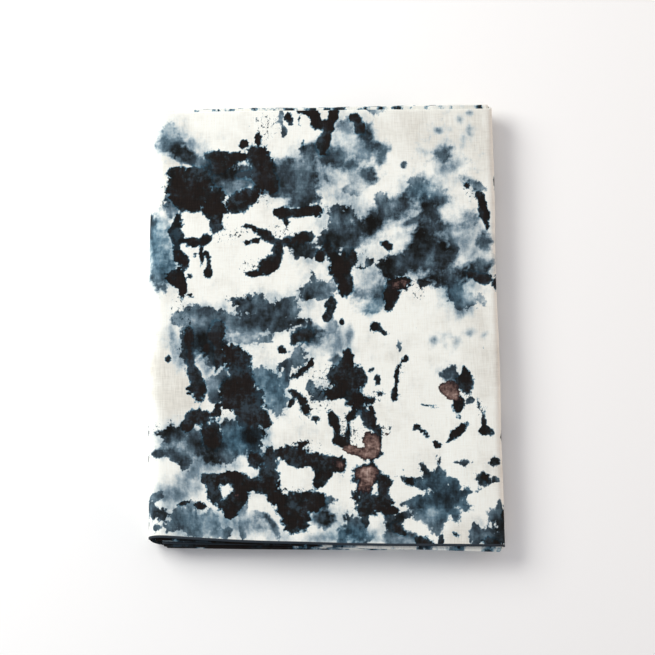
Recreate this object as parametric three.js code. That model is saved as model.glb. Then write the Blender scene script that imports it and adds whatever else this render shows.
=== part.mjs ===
// A linen tablecloth, dyed all over, folded flat for the shelf and lying on a table.
//
// The open cloth is 1400 x 2200 mm. It is folded in four across its width, which makes a long band of
// four plies, and the band is then halved three times along its length, so that eight lengths of it
// lie one on another. The halvings nest their folds: all four on the left lie inside each other and
// make a rounded spine, and the right side has one loop of four lengths, one of two and two free ends.
// The solid is that band, 2 to 3 mm thick, running back and forth through its eight lengths.
//
// Millimetres, +Z up, origin on the table under the middle of the folded cloth. +X runs to the right
// along the hemmed front edge, and +Y to the back.
import * as THREE from "three";

// The folded cloth
const foldedWidth = 275; // across the lengths, from the spine to the right edge
const foldedDepth = 350; // a quarter of the cloth's 1400 mm width
const bandThickness = 2.25; // four plies of 0.45 mm linen, a little apart
const lengthGap = 0.5; // air between two lengths
const lengthCount = 8;

// How closely the surface is faceted
const stepsAlongDepth = 13;
const stepsPerLength = 5;
const stepsOnTopLength = 9;

const pitch = bandThickness + lengthGap; // from one length up to the next

// The eight lengths in the order in which they come along the band. level counts up from the table.
// front and back say how far that length's edges stand out past the nominal depth at the middle,
// frontSlant and backSlant how much further they stand out at its right end than at its left, and
// frontBow how much its front edge bellies out right of the middle.
const lengths = [
  { level: 1, front: -0.6, back: -1.0, frontSlant: 1.6, backSlant: 1.0, frontBow: 0.4 },
  { level: 8, front: -4.2, back: -2.6, frontSlant: 5.0, backSlant: 3.2, frontBow: 2.2 },
  { level: 5, front: 2.4, back: 1.4, frontSlant: 2.6, backSlant: 3.4, frontBow: 0.6 },
  { level: 4, front: 1.2, back: 0.9, frontSlant: 1.2, backSlant: 2.2, frontBow: -0.5 },
  { level: 3, front: 0.2, back: -0.4, frontSlant: 2.0, backSlant: 1.6, frontBow: 0.3 },
  { level: 6, front: 1.8, back: 1.0, frontSlant: 3.4, backSlant: 4.2, frontBow: 1.0 },
  { level: 7, front: -1.2, back: -0.5, frontSlant: 3.8, backSlant: 3.4, frontBow: 1.6 },
  { level: 2, front: -1.6, back: -1.8, frontSlant: 0.8, backSlant: 0.4, frontBow: 0.2 },
];
const frontBowAt = 0.2; // where the belly is fullest, in half widths right of the middle

// The fold after each length. inset is how far its outer face stays inside the folded width, and
// bulge is how far the fold runs past the point where its lengths start to bend.
const folds = [
  { side: -1, inset: 0, bulge: 13.0, steps: 12 },
  { side: 1, inset: 0, bulge: 5.4, steps: 7 },
  { side: -1, inset: 14.0, bulge: 2.5, steps: 5 },
  { side: 1, inset: 2.6, bulge: 2.5, steps: 5 },
  { side: -1, inset: 10.4, bulge: 5.8, steps: 7 },
  { side: 1, inset: 2.9, bulge: 2.5, steps: 5 },
  { side: -1, inset: 5.4, bulge: 10.0, steps: 9 },
];
const freeEndInset = { start: 1.4, finish: 4.2 };

// The outline is out of square: the right edge leans in towards the back, and the spine is fullest
// behind the middle and drawn in at its back corner.
const rightLean = 2.7;
const spineFullness = 2.6;
const spineFullestAt = 60;

// The stack stands higher along the back, where every length has its double fold, and sinks a
// little in the middle and at its corners.
const backRise = 0.035;
const middleSink = 0.03;
const cornerDrop = 0.09;
const cornerStart = 1.35; // how far out a corner begins, in half widths and half depths together

const levelHeight = (level) => (level - 1) * pitch + bandThickness / 2;
const foldTip = (fold) => fold.side * (foldedWidth / 2 - fold.inset - bandThickness / 2);
const bendStart = (fold) => foldTip(fold) - fold.side * (fold.bulge - bandThickness / 2);
const mix = (a, b, t) => a + (b - a) * t;
const ease = (t) => t * t * (3 - 2 * t);

// Where a length's front and back edges lie at a place across the cloth
function lengthEnds(length, x) {
  const across = x / foldedWidth;
  const bow = length.frontBow * (1 - (2 * across - frontBowAt) ** 2);
  return {
    front: -(foldedDepth / 2 + length.front + length.frontSlant * across + bow),
    back: foldedDepth / 2 + length.back + length.backSlant * across,
  };
}

// A station is a place x, z on the band's middle line in section, with the ends of its depth. These
// are the stations of one straight length, from startX to endX, the last one only where it is asked for.
function lengthStations(length, startX, endX, keepLast) {
  const steps = length.level === lengthCount ? stepsOnTopLength : stepsPerLength;
  const made = [];
  for (let i = 0; i < steps + (keepLast ? 1 : 0); i += 1) {
    const x = mix(startX, endX, i / steps);
    made.push({ x, z: levelHeight(length.level), ...lengthEnds(length, x) });
  }
  return made;
}

// A fold is half an ellipse on its side, from one length's level to the next one's.
function foldStations(fold, from, to) {
  const startZ = levelHeight(from.level);
  const endZ = levelHeight(to.level);
  const middleX = bendStart(fold);
  const reach = Math.abs(foldTip(fold) - middleX);
  const made = [];
  for (let i = 0; i < fold.steps; i += 1) {
    const angle = (Math.PI * i) / fold.steps;
    const x = middleX + fold.side * reach * Math.sin(angle);
    const z = mix(startZ, endZ, (1 - Math.cos(angle)) / 2);
    const share = ease(i / fold.steps);
    const a = lengthEnds(from, x);
    const b = lengthEnds(to, x);
    made.push({ x, z, front: mix(a.front, b.front, share), back: mix(a.back, b.back, share) });
  }
  return made;
}

function bandStations() {
  const made = [];
  let x = foldedWidth / 2 - freeEndInset.start;
  lengths.forEach((length, i) => {
    const fold = folds[i];
    const endX = fold ? bendStart(fold) : foldedWidth / 2 - freeEndInset.finish;
    made.push(...lengthStations(length, x, endX, !fold));
    if (fold) made.push(...foldStations(fold, length, lengths[i + 1]));
    x = endX;
  });
  return made;
}

// A corner of the band's section: half a thickness off the middle line, on its upper or lower face.
function sectionCorner(stations, i, face) {
  const before = stations[Math.max(i - 1, 0)];
  const after = stations[Math.min(i + 1, stations.length - 1)];
  const along = new THREE.Vector2(after.x - before.x, after.z - before.z).normalize();
  const reach = (face * bandThickness) / 2;
  return new THREE.Vector2(stations[i].x - along.y * reach, stations[i].z + along.x * reach);
}

// Where the uneven stack has a point of the squared-up one. Height is only ever scaled, so the face
// on the table stays flat.
function settled(x, y, z) {
  const across = THREE.MathUtils.clamp(x / (foldedWidth / 2), -1.1, 1.1);
  const along = THREE.MathUtils.clamp(y / (foldedDepth / 2), -1.1, 1.1);
  const rightShare = (1 + across) / 2;
  const spread = (y - spineFullestAt) / (foldedDepth / 2 + spineFullestAt);
  const spineShift = -spineFullness * (1 - spread * spread) * (1 - rightShare);
  const rightShift = -rightLean * along * rightShare;
  const corner = Math.max(0, Math.abs(across) + Math.abs(along) - cornerStart);
  const middle = (1 - across * across) * (1 - along * along);
  const rise = backRise * Math.max(0, along) ** 2 - middleSink * middle - cornerDrop * corner ** 2;
  return new THREE.Vector3(x + spineShift + rightShift, y, z * (1 + rise));
}

// The section runs along the band's one face and back along the other. It is extruded through the
// cloth's depth, and then each line of corners is drawn out to the edges of its own length.
function bandGeometry() {
  const stations = bandStations();
  const cornerName = (x, z) => `${x.toFixed(3)} ${z.toFixed(3)}`;
  const endsAtCorner = new Map();
  const faceLine = (face) =>
    stations.map((ends, i) => {
      const corner = sectionCorner(stations, i, face);
      endsAtCorner.set(cornerName(corner.x, corner.y), ends);
      return corner;
    });
  const section = new THREE.Shape([...faceLine(1), ...faceLine(-1).reverse()]);
  const geometry = new THREE.ExtrudeGeometry(section, {
    depth: foldedDepth,
    steps: stepsAlongDepth,
    bevelEnabled: false,
  });
  geometry.rotateX(Math.PI / 2);
  const corners = geometry.getAttribute("position");
  for (let i = 0; i < corners.count; i += 1) {
    const [x, y, z] = [corners.getX(i), corners.getY(i), corners.getZ(i)];
    const ends = endsAtCorner.get(cornerName(x, z));
    const place = settled(x, mix(ends.back, ends.front, -y / foldedDepth), z);
    corners.setXYZ(i, place.x, place.y, place.z);
  }
  geometry.computeBoundingBox();
  const middle = geometry.boundingBox.getCenter(new THREE.Vector3());
  geometry.translate(-middle.x, -middle.y, 0);
  geometry.computeVertexNormals();
  return geometry;
}

const dyedLinen = new THREE.MeshStandardMaterial({
  name: "dyed_linen",
  color: 0xa9aeb1,
  roughness: 0.92,
  metalness: 0,
});

const tablecloth = new THREE.Group();
const cloth = new THREE.Mesh(bandGeometry(), dyedLinen);
cloth.name = "folded_cloth";
tablecloth.add(cloth);

export default tablecloth;
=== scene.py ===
# A marbled linen tablecloth, folded flat and lying on a table.
# The whole open cloth is modelled: one sheet of 1.40 x 2.20 m, folded in four across its width into
# a long band, and the band halved three times along its length. The dye is laid on the flat cloth.
import math
import bpy
import bmesh
import numpy as np
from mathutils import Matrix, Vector, noise


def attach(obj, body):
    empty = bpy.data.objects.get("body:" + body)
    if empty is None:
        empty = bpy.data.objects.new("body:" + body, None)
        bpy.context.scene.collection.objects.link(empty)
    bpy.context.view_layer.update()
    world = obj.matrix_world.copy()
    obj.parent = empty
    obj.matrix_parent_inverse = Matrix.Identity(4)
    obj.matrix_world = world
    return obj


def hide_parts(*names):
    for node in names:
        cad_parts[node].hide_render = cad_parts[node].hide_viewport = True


mm = 0.001
noise.seed_set(2)  # the same unevenness every time
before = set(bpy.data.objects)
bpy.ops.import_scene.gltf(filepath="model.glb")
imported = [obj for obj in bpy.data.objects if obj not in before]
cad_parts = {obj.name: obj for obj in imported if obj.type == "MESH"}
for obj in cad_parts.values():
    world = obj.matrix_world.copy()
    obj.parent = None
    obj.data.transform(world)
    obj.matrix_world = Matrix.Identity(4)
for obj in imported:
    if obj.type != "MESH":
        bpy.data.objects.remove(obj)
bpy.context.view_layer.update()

# ---- shared helpers

def linear(hexColour):
    # sRGB hex to the linear colour that the shaders take
    parts = [int(hexColour[i:i + 2], 16) / 255 for i in (1, 3, 5)]
    return [p / 12.92 if p <= 0.04045 else ((p + 0.055) / 1.055) ** 2.4 for p in parts] + [1.0]


def addNode(tree, kind, settings, inputs):
    # One node with its settings. An input takes a value, a socket, or a node whose live output it uses.
    made = tree.nodes.new(kind)
    for name, value in settings.items():
        setattr(made, name, value)
    for name, value in inputs.items():
        if isinstance(value, bpy.types.Node):
            value = next(socket for socket in value.outputs if socket.enabled)
        if isinstance(value, bpy.types.NodeSocket):
            tree.links.new(value, made.inputs[name])
        else:
            made.inputs[name].default_value = value
    return made


def reckon(tree, operation, *inputs, clamp=False):
    return addNode(tree, "ShaderNodeMath", {"operation": operation, "use_clamp": clamp},
                   dict(enumerate(inputs)))


def eased(tree, value, low, high, toLow=0.0, toHigh=1.0):
    # Goes smoothly from toLow to toHigh while the value goes from low to high
    return addNode(tree, "ShaderNodeMapRange", {"interpolation_type": "SMOOTHSTEP"},
                   {"Value": value, "From Min": low, "From Max": high, "To Min": toLow, "To Max": toHigh})


def blend(tree, share, a, b):
    return addNode(tree, "ShaderNodeMix", {"data_type": "RGBA"}, {"Factor": share, "A": a, "B": b})


def mix(a, b, share):
    return a + (b - a) * share


def smooth(low, high, value):
    share = np.clip((value - low) / (high - low), 0, 1)
    return share * share * (3 - 2 * share)


def linkObject(name, mesh, material):
    made = bpy.data.objects.new(name, mesh)
    bpy.context.scene.collection.objects.link(made)
    mesh.materials.append(material)
    return made


# ---- camera and light

view = {
    "elevation": 82.5,  # degrees above the table: almost straight down
    "distance": 1.25,
    "acrossFrame": 0.521,  # metres of table from side to side of the frame
    "aim": (0.0022, -0.0023, 0.012),
}


def placeCamera():
    camera = bpy.data.cameras.new("camera")
    camera.sensor_width = 36
    camera.lens = camera.sensor_width * view["distance"] / view["acrossFrame"]
    camera.clip_start = 0.01
    holder = bpy.data.objects.new("camera", camera)
    bpy.context.scene.collection.objects.link(holder)
    tilt = math.radians(view["elevation"])
    back = Vector((0, -math.cos(tilt), math.sin(tilt)))
    holder.location = Vector(view["aim"]) + back * view["distance"]
    holder.rotation_euler = (math.radians(90) - tilt, 0, 0)
    bpy.context.scene.camera = holder


window = {
    "bearing": 149,  # degrees round from +X: from the left and a little behind
    "elevation": 33,
    "distance": 1.7,
    "width": 1.2,
    "height": 0.85,
    "power": 31,
    "colour": "#fffdf8",
}

# The warm wall to the right gives a little of the light back
wall = {
    "bearing": 4,
    "elevation": 14,
    "distance": 1.4,
    "width": 1.4,
    "height": 0.6,
    "power": 4.5,
    "colour": "#ffcb94",
}

room = {
    "strength": 0.54,
    "colour": "#f4f7ff",
}


def placeLights():
    for name, lamp in (("window", window), ("wall", wall)):
        light = bpy.data.lights.new(name, "AREA")
        light.shape = "RECTANGLE"
        light.size = lamp["width"]
        light.size_y = lamp["height"]
        light.energy = lamp["power"]
        light.color = linear(lamp["colour"])[:3]
        holder = bpy.data.objects.new(name, light)
        bpy.context.scene.collection.objects.link(holder)
        bearing = math.radians(lamp["bearing"])
        rise = math.radians(lamp["elevation"])
        towards = Vector((math.cos(bearing) * math.cos(rise), math.sin(bearing) * math.cos(rise),
                          math.sin(rise)))
        holder.location = towards * lamp["distance"]
        holder.rotation_euler = towards.to_track_quat("Z", "Y").to_euler()
    world = bpy.data.worlds.new("room")
    bpy.context.scene.world = world
    world.use_nodes = True
    background = world.node_tree.nodes["Background"]
    background.inputs["Color"].default_value = linear(room["colour"])
    background.inputs["Strength"].default_value = room["strength"]
    bpy.context.scene.view_settings.view_transform = "Standard"


def tableTop():
    # Matte white paint on board: plain, a little warm
    material = bpy.data.materials.new("matteWhitePaint")
    material.use_nodes = True
    surface = material.node_tree.nodes["Principled BSDF"]
    surface.inputs["Base Color"].default_value = linear("#f7f7f6")
    surface.inputs["Roughness"].default_value = 0.7
    surface.inputs["Specular IOR Level"].default_value = 0.3
    grain = addNode(material.node_tree, "ShaderNodeTexNoise", {}, {"Scale": 420.0, "Detail": 2.0})
    bump = addNode(material.node_tree, "ShaderNodeBump", {},
                   {"Height": grain.outputs["Fac"], "Strength": 0.15, "Distance": 0.0004})
    material.node_tree.links.new(bump.outputs["Normal"], surface.inputs["Normal"])
    mesh = bpy.data.meshes.new("tableTop")
    bm = bmesh.new()
    bmesh.ops.create_grid(bm, x_segments=1, y_segments=1, size=3.0)
    bm.to_mesh(mesh)
    bm.free()
    linkObject("tableTop", mesh, material)


placeCamera()
placeLights()
tableTop()
print("camera, light and table are in place")

# ---- how the cloth is folded

cloth = {
    "openLength": 2200 * mm,
    "openWidth": 1400 * mm,
    "foldedWidth": 275 * mm,  # an eighth of the length
    "foldedDepth": 350 * mm,  # a quarter of the width
    "thickness": 0.45 * mm,
    "plyPitch": 0.62 * mm,  # from ply to ply inside the band
    "levelPitch": 2.75 * mm,  # from one length of the band up to the next
    "bandThickness": 2.25 * mm,
    "levels": 8,
    "stepsOnTop": 136,
    "stepsPerLength": 8,
    "stepsUpTopPly": 168,
    "stepsPerPly": 6,
    "rightLean": 2.7 * mm,
    "spineFullness": 2.6 * mm,
    "spineFullestAt": 60 * mm,
    "backRise": 0.035,
    "middleSink": 0.03,
    "cornerDrop": 0.09,
    "cornerStart": 1.35,
    "frontBowAt": 0.2,
    "hemRecess": 2.6 * mm,  # under the top length the hems stop short of the folds beside them
    "rollOff": 0.06,
    "tableGap": 0.12 * mm,  # the hem thread stands out a little below the linen
}

# The eight lengths in the order in which they come along the band, close to those of the frame's solid.
# level, then in mm how far the front and back edges stand out, how much more at the right end than
# at the left, and how much the front bellies out.
lengths = [
    # level, front, back, frontSlant, backSlant, frontBow
    (1, -0.6, -1.0, 1.6, 1.0, 0.4),
    (8, -4.2, -2.6, 5.0, 3.2, 2.2),
    (5, 1.6, 2.0, 1.6, 4.0, 0.6),
    (4, 1.2, 0.9, 1.2, 2.2, -0.5),
    (3, 0.2, -0.4, 2.0, 1.6, 0.3),
    (6, 0.6, 1.8, 1.4, 4.8, 0.6),
    (7, -0.8, 0.6, 8.4, 4.8, 1.0),
    (2, -1.6, -1.8, 0.8, 0.4, 0.2),
]

# The fold after each length: its side, and in mm how far it stays inside the folded width and how
# far it runs past the place where its lengths start to bend.
folds = [
    # side, inset, bulge, steps
    (-1, 0.0, 13.0, 12),
    (1, 0.0, 5.4, 8),
    (-1, 14.0, 2.5, 4),
    (1, 2.6, 2.5, 5),
    (-1, 10.4, 5.8, 6),
    (1, 2.9, 2.5, 5),
    (-1, 5.4, 10.0, 8),
]
freeEndInset = (1.4, 4.2)


def levelHeight(level):
    return (level - 1) * cloth["levelPitch"] + cloth["bandThickness"] / 2


def lengthEnds(length, x):
    level, front, back, frontSlant, backSlant, bow = length
    across = x / cloth["foldedWidth"]
    belly = bow * (1 - (2 * across - cloth["frontBowAt"]) ** 2)
    half = cloth["foldedDepth"] / 2
    return (-half - (front + frontSlant * across + belly) * mm,
            half + (back + backSlant * across) * mm)


def hemRecess(length):
    return 0 if length[0] == cloth["levels"] else cloth["hemRecess"]


def bandLines():
    # Lines across the band, one after another along it: flat place, x, z, facing x, facing z,
    # front edge, back edge and how far its hems stop short.
    half = cloth["foldedWidth"] / 2
    points, knots = [], [0.0]
    x = half - freeEndInset[0] * mm
    for i, length in enumerate(lengths):
        fold = folds[i] if i < len(folds) else None
        if fold:
            side, inset, bulge, steps = fold
            tip = side * (half - inset * mm - cloth["bandThickness"] / 2)
            bend = tip - side * (bulge * mm - cloth["bandThickness"] / 2)
        else:
            bend = half - freeEndInset[1] * mm
        count = cloth["stepsOnTop"] if length[0] == cloth["levels"] else cloth["stepsPerLength"]
        for k in range(count + (0 if fold else 1)):
            here = mix(x, bend, k / count)
            points.append((here, levelHeight(length[0]), *lengthEnds(length, here), hemRecess(length)))
        if fold:
            after = lengths[i + 1]
            for k in range(steps):
                angle = math.pi * k / steps
                here = bend + (tip - bend) * math.sin(angle)
                height = mix(levelHeight(length[0]), levelHeight(after[0]), (1 - math.cos(angle)) / 2)
                share = smooth(0, 1, k / steps)
                a, b = lengthEnds(length, here), lengthEnds(after, here)
                points.append((here, height, mix(a[0], b[0], share), mix(a[1], b[1], share),
                               mix(hemRecess(length), hemRecess(after), share)))
                if k == steps // 2:
                    knots.append(len(points) - 1)
        x = bend
    knots.append(len(points) - 1)
    lines = np.array(points)
    run = np.concatenate([[0], np.cumsum(np.hypot(np.diff(lines[:, 0]), np.diff(lines[:, 1])))])
    eighth = cloth["openLength"] / cloth["levels"]
    flat = np.interp(run, run[np.array(knots, int)], np.arange(len(knots)) * eighth)
    heading = np.stack([np.gradient(lines[:, 0]), np.gradient(lines[:, 1])])
    heading /= np.hypot(*heading)
    onTop = abs(lines[:, 1] - levelHeight(cloth["levels"])) < 1e-9
    middle = np.interp(0, lines[onTop, 0], run[onTop])
    return {"flat": flat, "right": run - middle, "x": lines[:, 0], "z": lines[:, 1],
            "faceX": -heading[1], "faceZ": heading[0], "front": lines[:, 2], "back": lines[:, 3],
            "recess": lines[:, 4]}


def plyLines():
    # Lines along the band, from the first hem over the four plies to the other hem: flat place,
    # share of the depth, how far inside the front and back edges the ply ends, how far a fold
    # runs past that, how far the ply lies off the band's middle, and whether the ply is hemmed.
    pitch = cloth["plyPitch"]
    wide, tight = 1.7 * pitch, 0.75 * pitch
    inner = 1.3 * pitch
    plies = [
        # insetFront, insetBack, off
        (0.0, wide, 1.5),
        (tight, wide, -1.5),
        (tight, tight + inner, -0.5),
        (0.9 * mm, tight + inner, 0.5),
    ]
    rows = []
    for i, (insetFront, insetBack, off) in enumerate(plies):
        count = cloth["stepsUpTopPly"] if i == 0 else cloth["stepsPerPly"]
        last = i == len(plies) - 1
        for k in range(count + (1 if last else 0)):
            share = k / count
            rows.append((share if i % 2 == 0 else 1 - share, insetFront, insetBack, 0.0, off * pitch,
                         1.0 if i == 0 or last else 0.0))
        if last:
            break
        reach = wide if i == 0 else tight
        steps = 6 if i == 0 else 4
        nextOff = plies[i + 1][2]
        towards = 1 if i % 2 == 0 else -1
        for k in range(steps):
            angle = math.pi * k / steps
            rows.append((1.0 if towards > 0 else 0.0, insetFront, insetBack,
                         towards * reach * math.sin(angle),
                         mix(off, nextOff, (1 - math.cos(angle)) / 2) * pitch, 0.0))
    table = np.array(rows)
    depth = cloth["foldedDepth"]
    y = (table[:, 1] + table[:, 0] * (depth - table[:, 1] - table[:, 2])) + table[:, 3]
    run = np.concatenate([[0], np.cumsum(np.hypot(np.diff(y), np.diff(table[:, 4])))])
    flat = run * cloth["openWidth"] / run[-1]
    return {"flat": flat, "share": table[:, 0], "insetFront": table[:, 1], "insetBack": table[:, 2],
            "past": table[:, 3], "off": table[:, 4], "hemmed": table[:, 5]}


# Soft creases and low ridges pressed into the top: from, to, width and height in mm on the cloth
creases = [
    # x1, y1, x2, y2, width, height
    (-112, -60, -104, 40, 9, 0.35),
    (-120, 60, -108, 170, 7, -0.3),
    (60, 175, 78, 60, 10, 0.3),
    (128, -40, 124, 90, 6, -0.35),
    (-40, 20, 30, 8, 14, 0.25),
    (-20, -175, -34, -90, 10, 0.3),
    (70, -170, 92, -60, 12, -0.3),
    (-135, -120, 20, -128, 16, 0.2),
    (91, -106, 90, -172, 3.5, -0.3),
]


def settled(x, y, z):
    # Where the uneven stack has a point of the squared-up one
    halfWidth, halfDepth = cloth["foldedWidth"] / 2, cloth["foldedDepth"] / 2
    top = cloth["levels"] * cloth["levelPitch"]
    across = np.clip(x / halfWidth, -1.1, 1.1)
    along = np.clip(y / halfDepth, -1.1, 1.1)
    right = (1 + across) / 2
    spread = (y - cloth["spineFullestAt"]) / (halfDepth + cloth["spineFullestAt"])
    shift = -cloth["spineFullness"] * (1 - spread ** 2) * (1 - right) - cloth["rightLean"] * along * right
    corner = np.maximum(0, abs(across) + abs(along) - cloth["cornerStart"])
    middle = (1 - across ** 2) * (1 - along ** 2)
    rise = (cloth["backRise"] * np.maximum(0, along) ** 2 - cloth["middleSink"] * middle
            - cloth["cornerDrop"] * corner ** 2 - cloth["rollOff"] * smooth(0.84, 1.04, across))
    newZ = z * (1 + rise)
    for x1, y1, x2, y2, width, height in creases:
        start = np.array((x1, y1)) * mm
        span = np.array((x2, y2)) * mm - start
        share = ((x - start[0]) * span[0] + (y - start[1]) * span[1]) / (span @ span)
        away = np.hypot(x - start[0] - np.clip(share, 0, 1) * span[0],
                        y - start[1] - np.clip(share, 0, 1) * span[1])
        newZ += height * mm * np.exp(-(away / (width * mm)) ** 2) * (z / top) ** 4
    return x + shift, y, newZ


sway = {
    # metres along and up over which it changes, where in the noise it starts, and how far it moves
    "slow": (0.07, 0.009, 0, 0.7 * mm),
    "fine": (0.022, 0.02, 5, 0.22 * mm),
    "slowRise": 0.9,
    "fineSpread": 0.5,
    "freeAbove": 6 * mm,  # nearer to the table than this, the stack rises and sinks less
}


def swayAt(point, along, up, start, reach):
    return noise.noise_vector(Vector((point[0] / along, point[1] / along, point[2] / up + start))) * reach


def ripples(point):
    # A slow sway of the whole stack, a little different from layer to layer
    lift = min(1, point[2] / sway["freeAbove"])
    slow, fine = swayAt(point, *sway["slow"]), swayAt(point, *sway["fine"])
    return Vector((slow.x + fine.x * sway["fineSpread"], slow.y + fine.y * sway["fineSpread"],
                   (slow.z * sway["slowRise"] + fine.z) * lift))


def foldedGrid():
    band, ply = bandLines(), plyLines()
    col = {key: value[:, None] for key, value in band.items()}
    row = {key: value[None, :] for key, value in ply.items()}
    x = col["x"] + col["faceX"] * row["off"]
    z = col["z"] + col["faceZ"] * row["off"]
    start = col["front"] + row["insetFront"] + col["recess"] * row["hemmed"]
    y = mix(start, col["back"] - row["insetBack"], row["share"]) + row["past"]
    x, y, z = settled(x, y, z)
    places = np.stack([x, y, z], axis=-1)
    for i in range(places.shape[0]):
        for j in range(places.shape[1]):
            places[i, j] += np.array(ripples(places[i, j]))
    places[..., 2] = np.maximum(places[..., 2], cloth["thickness"] / 2 + cloth["tableGap"])
    return places, band["flat"], ply["flat"], band["right"], ply["flat"] - cloth["foldedDepth"] / 2


places, flatAlong, flatAcross, topRight, topUp = foldedGrid()
print("cloth folded:", places.shape[0], "by", places.shape[1], "lines, top at",
      round(float(places[..., 2].max()) / mm, 1), "mm")

# ---- where the dye lies

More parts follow.
